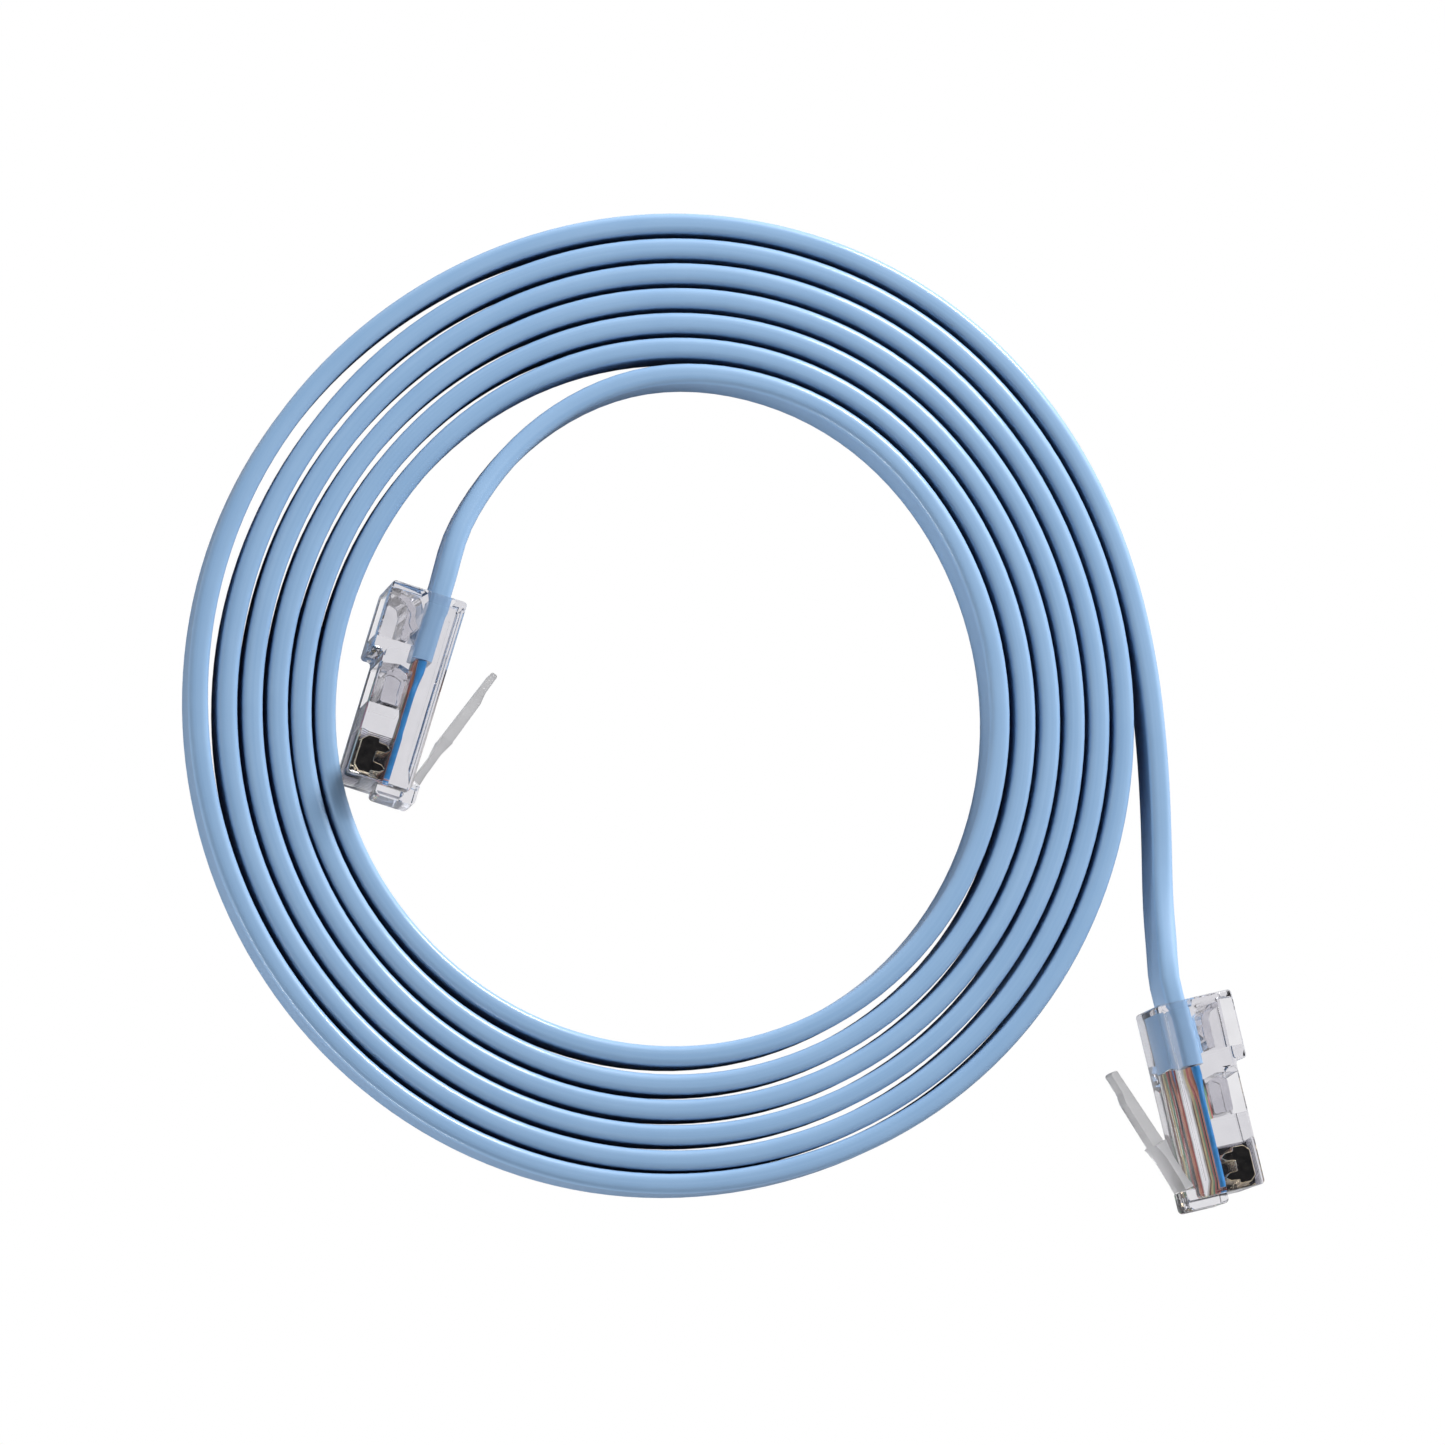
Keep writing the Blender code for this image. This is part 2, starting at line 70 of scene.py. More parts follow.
# Lamps: name, place, width, height (metres) and power (watts). Each looks at the origin.
LAMPS = [
    ("key_upper_right", (0.6, 0.8, 0.48), 0.4, 0.3, 17.5),
    ("fill_left", (-0.9, 0.1, 0.7), 0.5, 0.5, 0.5),
    ("fill_front", (0.3, -0.9, 0.7), 0.5, 0.5, 0.4),
    ("low_lower_left", (-0.8, -0.8, 0.15), 1.0, 0.12, 9.0),
]

# Sky: grey levels from straight down (0) to straight up (1), stronger on the key lamp's side.
SKY_BOTTOM = (0.6, 0.6, 0.62)
SKY_TOP = (0.14, 0.14, 0.15)
SKY_LEVELS = [(0.5, 0.9), (0.62, 0.9), (0.85, 0.2)]
SKY_BLUE = 1.03
BRIGHT_SIDE = (0.6, 0.8, 0.0)
DIM_STRENGTH = 0.2
BRIGHT_STRENGTH = 1.15

# Floor: two planes a hair under the cable.
FLOOR_HALF_SIZE = 3.0
BACKDROP_HEIGHT = -0.05 * MM
TABLE_HEIGHT = -0.01 * MM
TABLE_GREY = (0.6, 0.6, 0.62)

# Colours, each as its darkest and its lightest.
JACKET_COLOURS = ((0.25, 0.42, 0.655), (0.31, 0.485, 0.715))
CLEAR_COLOURS = ((0.85, 0.845, 0.87), (0.92, 0.915, 0.935))
FROSTED_COLOURS = ((0.55, 0.55, 0.56), (0.6, 0.6, 0.61))
GOLD_COLOURS = ((0.8, 0.66, 0.42), (0.96, 0.86, 0.66))
# The blades' flat sides: bare metal drawn near black, which is painted shade for the dark they sit in.
BRONZE_PAINTED_SHADE_COLOURS = ((0.008, 0.008, 0.008), (0.03, 0.027, 0.024))
WIRE_COLOURS = {
    "blue": (0.035, 0.24, 0.58),
    "orange": (0.66, 0.27, 0.17),
    "black": (0.03, 0.03, 0.035),
    "red": (0.5, 0.14, 0.13),
    "green": (0.2, 0.38, 0.25),
    "yellow": (0.72, 0.6, 0.32),
    "brown": (0.26, 0.15, 0.11),
    "white": (0.8, 0.8, 0.78),
}
WIRE_SHADE = 0.72

# Clear plastic: how it bends light, and the tint that it takes on through its thickness.
PLASTIC_IOR = 1.5
DEPTH_TINT = (0.3, 0.28, 0.38)
DEPTH_DENSITY = 24.0

# Cable.
CABLE_WIDTH = 6.6 * MM
CABLE_THICKNESS = 2.1 * MM
JACKET_CROWN = 0.8 * MM
CROWN_POWER = 0.74
CROWN_STEPS = 18
FLAT_STEPS = 24
RIPPLE_DEPTH = 0.012 * MM
DIE_LINE_WIDTH = 0.1 * MM
DIE_LINE_DEPTH = 0.12 * MM

# Coil. Angles are degrees turned clockwise from +Y at the inner end, and add up turn after turn.
COIL_CENTRE = Vector((-13.16, 19.41, 0.0)) * MM
COIL_START_RADIUS = 34.01
COIL_PITCH = 2.578
COIL_END_TURN = 2235
COIL_STEP = 15
OVAL_HEIGHT = 0.64
OVAL_ANGLE = 8.8
LOBE_HEIGHT = 0.19
LOBE_ANGLE = 13.8
LEAN_HEIGHT = 0.14
LEAN_ANGLE = 110.0
SHOULDER_HEIGHT = 0.28
SHOULDER_ANGLE = 34.0
SHOULDER_POWER = 12
RING_STEP = 1.8 * MM

# Where one turn lies off that shape: the angle, how far it spreads, and how far out it lies.
BULGES = {
    "tight_start": (165.0, 75.0, -0.3),
    "round_plug_a": (258.0, 25.0, 0.38),
    "turn_outside_it": (618.0, 25.0, 0.2),
    "pressed_in": (1965.0, 25.0, -0.3),
    "last_gap": (2095.0, 33.0, 0.7),
}

# Route of the free ends, in millimetres: X and Y from the coil's centre, Z above the table.
INNER_END = [
    (-22.45, 16.9, 5.45),
    (-20.3, 21.1, 4.75),
    (-17.2, 25.3, 4.0),
    (-13.2, 29.1, 3.5),
    (-8.6, 32.05, 3.3),
    (-3.0, 34.1, 3.3),
]
OUTER_END = [
    (49.9, 2.0, 3.3),
    (50.4, -3.15, 3.3),
    (50.7, -8.3, 3.3),
    (50.86, -14.5, 3.3),
    (50.86, -19.6, 4.0),
    (50.95, -24.3, 5.2),
]

# Plug body, in its own frame and in millimetres.
PLUG_WIDTH = 11.68
PLUG_LENGTH = 20.1
FRONT_HEIGHT = 6.7
REAR_HEIGHT = 7.9
STEP_X = 12.9
EDGE_ROUND = 0.38
SMALL_ROUND = 0.12
MOUTH_WIDTH = 7.2
JACKET_POCKET_WIDTH = 6.4
WIRE_POCKET_WIDTH = 7.6
JACKET_CLAMP_WIDTH = 5.8
WIRE_CLAMP_WIDTH = 7.0
GROOVE_DEPTH = 0.18

# Contacts and conductors, in millimetres. Conductors are drawn thinner in their channels.
PINS = 8
PIN_PITCH = 1.02
SLOT_WIDTH = 0.46
BLADE_THICKNESS = 0.32
BLADE_BEVEL = 0.07
TINE_PLACES = (1.5, 3.55)
CORE_HEIGHT = 2.6
JACKET_END_X = 13.4
STRAIGHT_OUT = 2.5
WIRE_START_PITCH = 0.87
WIRE_DIAMETER = 0.9
WIRE_SIDES = 16
WIRE_STEP = 0.35
WIRE_RISE = 0.12
CHANNEL_SHARE = 0.66
CHANNEL_X = 10.6
SPREAD_LENGTH = 2.0

# Latch, in millimetres and degrees.
HINGE_X = 1.5
HINGE_HEIGHT = -0.6
LATCH_ANGLE = 19.0
LATCH_WIDTH = 6.0
FINGER_WIDTH = 3.25
FINGER_START = 5.3


# Node helpers for materials.


def new_material(name):
    material = bpy.data.materials.new(name)
    material.use_nodes = True
    nodes = material.node_tree.nodes
    links = material.node_tree.links
    return material, nodes, links, nodes["Principled BSDF"]


def add_node(nodes, kind, **values):
    node = nodes.new(kind)
    for key, value in values.items():
        setattr(node, key, value)
    return node


def noise(nodes, links, vector, scale, detail=3.0):
    node = nodes.new("ShaderNodeTexNoise")
    node.inputs["Scale"].default_value = scale
    node.inputs["Detail"].default_value = detail
    links.new(vector, node.inputs["Vector"])
    return node.outputs["Fac"]


def stretched(nodes, links, vector, scale):
    mapping = nodes.new("ShaderNodeMapping")
    mapping.inputs["Scale"].default_value = scale
    links.new(vector, mapping.inputs["Vector"])
    return mapping.outputs["Vector"]


def ramp(nodes, links, factor, low, high, start=0.3, end=0.7):
    node = nodes.new("ShaderNodeValToRGB")
    node.color_ramp.elements[0].position = start
    node.color_ramp.elements[0].color = (*low, 1.0)
    node.color_ramp.elements[1].position = end
    node.color_ramp.elements[1].color = (*high, 1.0)
    links.new(factor, node.inputs["Fac"])
    return node.outputs["Color"]


def spread(nodes, links, factor, low, high):
    node = nodes.new("ShaderNodeMapRange")
    node.inputs["To Min"].default_value = low
    node.inputs["To Max"].default_value = high
    links.new(factor, node.inputs["Value"])
    return node.outputs["Result"]


def bump(nodes, links, shader, height, distance, strength=1.0):
    node = nodes.new("ShaderNodeBump")
    node.inputs["Strength"].default_value = strength
    node.inputs["Distance"].default_value = distance
    links.new(height, node.inputs["Height"])
    links.new(node.outputs["Normal"], shader.inputs["Normal"])


def object_coordinates(nodes):
    return nodes.new("ShaderNodeTexCoord").outputs["Object"]


def jacket_material():
    """Soft satin PVC, with faint streaks along the cable left by the extruder's die."""
    material, nodes, links, shader = new_material("jacket_pvc")
    uv = nodes.new("ShaderNodeTexCoord").outputs["UV"]
    streaks = noise(nodes, links, stretched(nodes, links, uv, (6.0, 2600.0, 1.0)), 1.0, 4.0)
    cloud = noise(nodes, links, object_coordinates(nodes), 160.0)
    mixed = add_node(nodes, "ShaderNodeMix", data_type="RGBA")
    mixed.inputs["Factor"].default_value = 0.35
    links.new(ramp(nodes, links, streaks, *JACKET_COLOURS), mixed.inputs["A"])
    links.new(ramp(nodes, links, cloud, *JACKET_COLOURS), mixed.inputs["B"])
    links.new(mixed.outputs["Result"], shader.inputs["Base Color"])
    links.new(spread(nodes, links, streaks, 0.36, 0.5), shader.inputs["Roughness"])
    grain = noise(nodes, links, object_coordinates(nodes), 4000.0, 2.0)
    height = add_node(nodes, "ShaderNodeMath", operation="ADD")
    links.new(streaks, height.inputs[0])
    links.new(grain, height.inputs[1])
    bump(nodes, links, shader, height.outputs["Value"], 0.006 * MM, 0.6)
    shader.inputs["Specular IOR Level"].default_value = 0.35
    shader.inputs["Coat Weight"].default_value = 0.5
    shader.inputs["Coat Roughness"].default_value = 0.12
    return material


def clear_material(name, low, high, haze):
    """Clear polycarbonate with slow moulding flow marks, a little grey where it is thick."""
    material, nodes, links, shader = new_material(name)
    place = object_coordinates(nodes)
    flow = noise(nodes, links, stretched(nodes, links, place, (1.0, 1.0, 0.3)), 420.0, 2.0)
    links.new(ramp(nodes, links, flow, low, high), shader.inputs["Base Color"])
    links.new(spread(nodes, links, flow, haze, haze + 0.05), shader.inputs["Roughness"])
    shader.inputs["Transmission Weight"].default_value = 1.0
    shader.inputs["IOR"].default_value = PLASTIC_IOR
    bump(nodes, links, shader, flow, 0.012 * MM, 0.5)
    depth = nodes.new("ShaderNodeVolumeAbsorption")
    depth.inputs["Color"].default_value = (*DEPTH_TINT, 1.0)
    depth.inputs["Density"].default_value = DEPTH_DENSITY
    links.new(depth.outputs["Volume"], nodes["Material Output"].inputs["Volume"])
    return material


def let_light_in(piece):
    """Lamps and walls light what is inside a clear piece as if it weren't there."""
    piece.visible_shadow = False
    piece.visible_diffuse = False


def wire_material(name, colour):
    """Coloured insulation, a little uneven, with a waxy shine."""
    material, nodes, links, shader = new_material(f"insulation_{name}")
    cloud = noise(nodes, links, object_coordinates(nodes), 900.0)
    deep = tuple(channel * WIRE_SHADE for channel in colour)
    links.new(ramp(nodes, links, cloud, deep, colour), shader.inputs["Base Color"])
    links.new(spread(nodes, links, cloud, 0.28, 0.42), shader.inputs["Roughness"])
    bump(nodes, links, shader, cloud, 0.02 * MM, 0.5)
    return material


def metal_material(name, low, high, roughness):
    """Metal with fine scratches that run along its length."""
    material, nodes, links, shader = new_material(name)
    scratches = stretched(nodes, links, object_coordinates(nodes), (1.0, 1.0, 12.0))
    brushed = noise(nodes, links, scratches, 1500.0)
    links.new(ramp(nodes, links, brushed, low, high), shader.inputs["Base Color"])
    polish = spread(nodes, links, brushed, roughness - 0.08, roughness + 0.1)
    links.new(polish, shader.inputs["Roughness"])
    shader.inputs["Metallic"].default_value = 1.0
    bump(nodes, links, shader, brushed, 0.004 * MM, 0.4)
    return material


# Camera, light and floor.


def set_camera():
    """A camera that looks down at the target, tilted towards the lower left, with +Y up in the picture."""
    across = math.sin(VIEW_TILT)
    back = Vector((-math.sin(VIEW_SIDE) * across, -math.cos(VIEW_SIDE) * across, math.cos(VIEW_TILT)))
    picture_up = Vector((0.0, 1.0, 0.0))
    up = (picture_up - picture_up.dot(back) * back).normalized()
    right = up.cross(back)
    data = bpy.data.cameras.new("camera")
    data.sensor_width = SENSOR_WIDTH
    data.lens = SENSOR_WIDTH * VIEW_DISTANCE / VIEW_SPAN
    data.clip_start = 0.05
    data.clip_end = 20.0
    camera = bpy.data.objects.new("camera", data)
    turn = Matrix((right, up, back)).transposed()
    camera.matrix_world = Matrix.Translation(VIEW_TARGET + back * VIEW_DISTANCE) @ turn.to_4x4()
    bpy.context.scene.collection.objects.link(camera)
    bpy.context.scene.camera = camera


def soft_box(name, place, width, height, power):
    """A rectangular lamp that looks at the origin."""
    data = bpy.data.lights.new(name, "AREA")
    data.shape = "RECTANGLE"
    data.size = width
    data.size_y = height
    data.energy = power
    lamp = bpy.data.objects.new(name, data)
    lamp.location = place
    lamp.rotation_euler = (-Vector(place)).to_track_quat("-Z", "Y").to_euler()
    bpy.context.scene.collection.objects.link(lamp)


def set_light():
    """A white horizon, a darker ceiling and a brighter key side, so that the gaps between turns stay dark."""
    world = bpy.data.worlds.new("studio")
    world.use_nodes = True
    nodes = world.node_tree.nodes
    links = world.node_tree.links
    direction = nodes.new("ShaderNodeTexCoord").outputs["Generated"]
    height = nodes.new("ShaderNodeSeparateXYZ")
    links.new(direction, height.inputs["Vector"])
    shade = nodes.new("ShaderNodeValToRGB")
    for position, level in SKY_LEVELS:
        stop = shade.color_ramp.elements.new(position)
        stop.color = (level, level, level * SKY_BLUE, 1.0)
    shade.color_ramp.elements[0].color = (*SKY_BOTTOM, 1.0)
    shade.color_ramp.elements[-1].color = (*SKY_TOP, 1.0)
    half = nodes.new("ShaderNodeMapRange")
    half.inputs["From Min"].default_value = -1.0
    links.new(height.outputs["Z"], half.inputs["Value"])
    links.new(half.outputs["Result"], shade.inputs["Fac"])
    towards_key = add_node(nodes, "ShaderNodeVectorMath", operation="DOT_PRODUCT")
    towards_key.inputs[1].default_value = BRIGHT_SIDE
    links.new(direction, towards_key.inputs[0])
    side = nodes.new("ShaderNodeMapRange")
    side.inputs["From Min"].default_value = -1.0
    side.inputs["To Min"].default_value = DIM_STRENGTH
    side.inputs["To Max"].default_value = BRIGHT_STRENGTH
    links.new(towards_key.outputs["Value"], side.inputs["Value"])
    links.new(shade.outputs["Color"], nodes["Background"].inputs["Color"])
    links.new(side.outputs["Result"], nodes["Background"].inputs["Strength"])
    bpy.context.scene.world = world
    bpy.context.scene.view_settings.view_transform = "Standard"
    for lamp in LAMPS:
        soft_box(*lamp)


def make_plane(name, height, colour, glow):
    """A matte level plane, which may give out an even light."""
    mesh = bpy.data.meshes.new(name)
    shape = bmesh.new()
    bmesh.ops.create_grid(shape, x_segments=1, y_segments=1, size=FLOOR_HALF_SIZE)
    shape.to_mesh(mesh)
    shape.free()
    plane = bpy.data.objects.new(name, mesh)
    plane.location = (0.0, 0.0, height)
    bpy.context.scene.collection.objects.link(plane)
    material, nodes, links, shader = new_material(name)
    shader.inputs["Base Color"].default_value = (*colour, 1.0)
    shader.inputs["Roughness"].default_value = 1.0
    shader.inputs["Specular IOR Level"].default_value = 0.0
    shader.inputs["Emission Color"].default_value = (1.0, 1.0, 1.0, 1.0)
    shader.inputs["Emission Strength"].default_value = glow
    mesh.materials.append(material)
    return plane


def make_floor():
    """An even white backdrop to look at, and a matte table that only gives light back to the cable."""
    backdrop = make_plane("backdrop", BACKDROP_HEIGHT, (0.0, 0.0, 0.0), 1.0)
    backdrop.visible_diffuse = False
    backdrop.visible_glossy = False
    table = make_plane("table", TABLE_HEIGHT, TABLE_GREY, 0.0)
    table.visible_camera = False
    table.visible_transmission = False


# Plug frames, from the record.


def plug_matrix(plug):
    """Plug frame to world: the record gives the nose's direction, and the hinge's place and axis."""
    record = frame["record"]
    nose = next(mount for mount in record["mounts"] if mount["name"] == f"{plug}_nose")
    hinge = next(joint for joint in frame["joints"] if joint["child"] == f"{plug}_latch_arm")
    to_rear = -Vector(nose["axis"]).normalized()
    across = -Vector(hinge["axis"]).normalized()
    to_contacts = to_rear.cross(across)
    origin = Vector(hinge["pos_m"]) - (to_rear * HINGE_X + to_contacts * HINGE_HEIGHT) * MM
    turn = Matrix((to_rear, across, to_contacts)).transposed()
    return Matrix.Translation(origin) @ turn.to_4x4()


# Mesh helpers.


def add_object(name, mesh, *materials):
    obj = bpy.data.objects.new(name, mesh)
    bpy.context.scene.collection.objects.link(obj)
    for material in materials:
        mesh.materials.append(material)
    return obj


def rounded(outline, steps=4):
    """Points of a closed outline of (x, y, corner radius)."""
    points = []
    for index, (x, y, radius) in enumerate(outline):
        corner = Vector((x, y))
        if radius == 0.0:
            points.append(corner)
            continue
        back = (Vector(outline[index - 1][:2]) - corner).normalized()
        ahead = (Vector(outline[(index + 1) % len(outline)][:2]) - corner).normalized()
        half_angle = back.angle(ahead) / 2
        centre = corner + (back + ahead).normalized() * radius / math.sin(half_angle)
        start = corner + back * radius / math.tan(half_angle) - centre
        end = corner + ahead * radius / math.tan(half_angle) - centre
        swept = start.angle_signed(end)
        for step in range(steps + 1):
            points.append(centre + Matrix.Rotation(-swept * step / steps, 2) @ start)
    return points


def prism(name, outline, width, middle=0.0, steps=4):
    """A closed solid: an outline in X and Z (millimetres, with corner radii) drawn across a width in Y."""
    points = rounded([(x * MM, z * MM, radius * MM) for x, z, radius in outline], steps)
    shape = bmesh.new()
    sides = [(middle - width / 2) * MM, (middle + width / 2) * MM]
    near, far = [[shape.verts.new((p.x, y, p.y)) for p in points] for y in sides]
    count = len(points)
    shape.faces.new(near)
    shape.faces.new(far[::-1])
    for i in range(count):
        shape.faces.new((near[i - 1], far[i - 1], far[i], near[i]))
    bmesh.ops.recalc_face_normals(shape, faces=shape.faces)
    mesh = bpy.data.meshes.new(name)
    shape.to_mesh(mesh)
    shape.free()
    return add_object(name, mesh)


def box(front, rear, bottom, top):
    """Outline of a plain box, for prism."""
    return [(front, bottom, 0.0), (rear, bottom, 0.0), (rear, top, 0.0), (front, top, 0.0)]


def bevel(obj, width, segments=3, angle=40.0):
    """Rounds the edges sharper than the angle, by a width in millimetres."""
    modifier = obj.modifiers.new("bevel", "BEVEL")
    modifier.width = width * MM
    modifier.segments = segments
    modifier.limit_method = "ANGLE"
    modifier.angle_limit = math.radians(angle)


def apply_modifiers(obj):
    """Makes the modified mesh the object's own."""
    bpy.context.view_layer.update()
    graph = bpy.context.evaluated_depsgraph_get()
    mesh = bpy.data.meshes.new_from_object(obj.evaluated_get(graph))
    obj.modifiers.clear()
    obj.data = mesh
    return obj


def combine(obj, others, operation):
    """One exact Boolean with several solids, which are removed after it."""
    group = bpy.data.collections.new("cutters")
    for other in others:
        group.objects.link(other)
    modifier = obj.modifiers.new(operation, "BOOLEAN")
    modifier.operation = operation
    modifier.solver = "EXACT"
    modifier.operand_type = "COLLECTION"
    modifier.collection = group
    modifier.use_self = True
    apply_modifiers(obj)
    for other in others:
        bpy.data.objects.remove(other, do_unlink=True)
    bpy.data.collections.remove(group)
    return obj


def settle(obj, name, matrix, materials, smooth_angle=20.0):
    """Gives a finished piece its name, its place in the world and its materials."""
    obj.data.transform(matrix)
    obj.name = name
    obj.data.name = name
    obj.data.materials.clear()
    for material in materials:
        obj.data.materials.append(material)
    obj.data.shade_smooth()
    obj.data.set_sharp_from_angle(angle=math.radians(smooth_angle))
    return obj


def smooth_route(points, step):
    """Points about a step apart on the natural cubic spline through the given ones."""
    knots = np.array([tuple(point) for point in points])
    chords = np.linalg.norm(np.diff(knots, axis=0), axis=1)
    at = np.concatenate([[0.0], np.cumsum(chords)])
    count = len(knots)
    system = np.eye(count)
    right = np.zeros((count, 3))
    for i in range(1, count - 1):
        system[i, i - 1 : i + 2] = chords[i - 1], 2 * (chords[i - 1] + chords[i]), chords[i]
        slope_after = (knots[i + 1] - knots[i]) / chords[i]
        slope_before = (knots[i] - knots[i - 1]) / chords[i - 1]
        right[i] = 6 * (slope_after - slope_before)
    bend = np.linalg.solve(system, right)
    samples = np.linspace(0.0, at[-1], max(2, round(at[-1] / step) + 1))
    smooth = []
    for value in samples:
        i = min(int(np.searchsorted(at, value, side="right")) - 1, count - 2)
        h = chords[i]
        a = (at[i + 1] - value) / h
        b = 1.0 - a
        curved = (a**3 - a) * bend[i] + (b**3 - b) * bend[i + 1]
        smooth.append(a * knots[i] + b * knots[i + 1] + curved * h * h / 6)
    return np.array(smooth)


# Cable.


def wave(turned, angle, per_turn=1):
    """A cosine with so many crests in each turn, and one of them at the angle."""
    return math.cos(math.radians(per_turn * (turned - angle)))


def coil_radius(turned):
    """Centre line's radius in millimetres, after so many degrees from the inner end."""
    radius = COIL_START_RADIUS + COIL_PITCH * turned / 360
    radius += OVAL_HEIGHT * wave(turned, OVAL_ANGLE, 2)
    radius += LOBE_HEIGHT * wave(turned, LOBE_ANGLE, 3)
    radius += LEAN_HEIGHT * wave(turned, LEAN_ANGLE)
    radius += SHOULDER_HEIGHT * max(0.0, wave(turned, SHOULDER_ANGLE)) ** SHOULDER_POWER
    for angle, spread_by, height in BULGES.values():
        radius += height * math.exp(-(((turned - angle) / spread_by) ** 2))
    return radius


def cable_route(plug_a, plug_b):
    """The centre line's points from the cut end in plug A, round the coil, to the cut end in plug B."""
    places = (JACKET_END_X, PLUG_LENGTH, PLUG_LENGTH + STRAIGHT_OUT)
    inside = [Vector((x, 0.0, CORE_HEIGHT)) * MM for x in places]
    points = [plug_a @ point for point in inside]
    points += [COIL_CENTRE + Vector(point) * MM for point in INNER_END]
    for turned in range(COIL_STEP, COIL_END_TURN + 1, COIL_STEP):
        angle = math.radians(turned)
        radius = coil_radius(turned)
        flat = Vector((radius * math.sin(angle), radius * math.cos(angle), CABLE_WIDTH / 2 / MM))
        points.append(COIL_CENTRE + flat * MM)
    points += [COIL_CENTRE + Vector(point) * MM for point in OUTER_END]
    points += [plug_b @ point for point in reversed(inside)]
    return points


def jacket_section():
    """Section points as (out, up): crowned edges, rippled flat sides and a die line low on each side."""
    half_width = CABLE_WIDTH / 2
    half_thick = CABLE_THICKNESS / 2
    flat = half_width - JACKET_CROWN
    points = []
    for side in (1, -1):
        for i in range(FLAT_STEPS + 1):
            up = side * flat * (2 * i / FLAT_STEPS - 1)
            ripple = RIPPLE_DEPTH * (1.0 + math.cos(math.pi * PINS * (up / flat + 1)))
            out = half_thick - ripple
            if i == (1 if side > 0 else FLAT_STEPS - 1):
                points.append((side * out, up - side * DIE_LINE_WIDTH / 2))
                points.append((side * (out - DIE_LINE_DEPTH), up))
                points.append((side * out, up + side * DIE_LINE_WIDTH / 2))
            else:
                points.append((side * out, up))
        for i in range(1, CROWN_STEPS):
            angle = math.pi * i / CROWN_STEPS
            out = math.copysign(abs(math.cos(angle)) ** CROWN_POWER, math.cos(angle)) * half_thick
            up = flat + JACKET_CROWN * math.sin(angle) ** CROWN_POWER
            points.append((side * out, side * up))
    return points


def sweep_section(name, path, section, widths=None):
    """A closed tube: the section stood upright at each point of the path, and scaled by the width there."""
    path = np.asarray(path)
    along = np.gradient(path, axis=0)
    along /= np.linalg.norm(along, axis=1, keepdims=True)
    out = np.cross(along, (0.0, 0.0, 1.0))
    out /= np.linalg.norm(out, axis=1, keepdims=True)
    up = np.cross(out, along)
    shape = bmesh.new()
    rings = []
    widths = [1.0] * len(path) if widths is None else widths
    for place, o, u, width in zip(path, out, up, widths):
        rings.append([shape.verts.new(place + (o * x + u * z) * width) for x, z in section])
    uv = shape.loops.layers.uv.new("UVMap")
    travelled = np.concatenate([[0.0], np.cumsum(np.linalg.norm(np.diff(path, axis=0), axis=1))])
    closed = section + section[:1]
    around = np.concatenate([[0.0], np.cumsum([math.dist(a, b) for a, b in zip(closed, closed[1:])])])
    count = len(section)
    for i in range(len(rings) - 1):
        for j in range(count):
            k = (j + 1) % count
            face = shape.faces.new((rings[i][j], rings[i][k], rings[i + 1][k], rings[i + 1][j]))
            face.smooth = True
            places = ((i, j), (i, j + 1), (i + 1, j + 1), (i + 1, j))
            for loop, (a, b) in zip(face.loops, places):
                loop[uv].uv = (travelled[a], around[b])
    shape.faces.new(rings[0][::-1])
    shape.faces.new(rings[-1])
    bmesh.ops.recalc_face_normals(shape, faces=shape.faces)
    mesh = bpy.data.meshes.new(name)
    shape.to_mesh(mesh)
    shape.free()
    return add_object(name, mesh)


# Plug pieces. Outlines are in millimetres: along the plug, height from the latch side, corner radius.


def pin_place(pin, pitch):
    """Place across the plug, in millimetres."""
    return (pin - (PINS + 1) / 2) * pitch


def housing_hollows():
    """What is cut from the body. It is solid round the jacket and the conductors, which lie in it."""
    mouth = [
        (PLUG_LENGTH - 0.9, 1.45, 0.0),
        (PLUG_LENGTH + 0.2, 1.0, 0.0),
        (PLUG_LENGTH + 0.2, 4.2, 0.0),
        (PLUG_LENGTH - 0.9, 3.75, 0.0),
    ]
    jacket_pocket = [
        (14.5, 3.85, 0.0),
        (18.0, 3.85, 0.0),
        (19.3, 4.6, 0.9),
        (19.5, 7.2, 0.9),
        (18.7, 8.9, 0.0),
        (14.5, 8.9, 0.0),
    ]
    wire_pocket = [
        (7.7, 3.2, 0.0),
        (11.8, 3.2, 0.0),
        (12.2, 4.6, 0.6),
        (11.6, 8.0, 0.0),
        (7.7, 8.0, 0.0),
    ]
    slot = [
        (0.35, 2.9, 0.0),
        (4.75, 2.9, 0.0),
        (4.75, 5.6, 0.4),
        (5.3, 7.7, 0.0),
        (-1.0, 7.7, 0.0),
        (-1.0, 5.2, 0.0),
        (0.35, 4.9, 0.0),
    ]
    made = [
        prism("cut", mouth, MOUTH_WIDTH),
        prism("cut", jacket_pocket, JACKET_POCKET_WIDTH),
        prism("cut", wire_pocket, WIRE_POCKET_WIDTH),
    ]
    for pin in range(1, PINS + 1):
        made.append(prism("cut", slot, SLOT_WIDTH, pin_place(pin, PIN_PITCH)))
    groove = box(1.6, 18.9, 0.5, 0.68)
    for side in (-1, 1):
        made.append(prism("cut", groove, 2 * GROOVE_DEPTH, side * PLUG_WIDTH / 2))
    return made


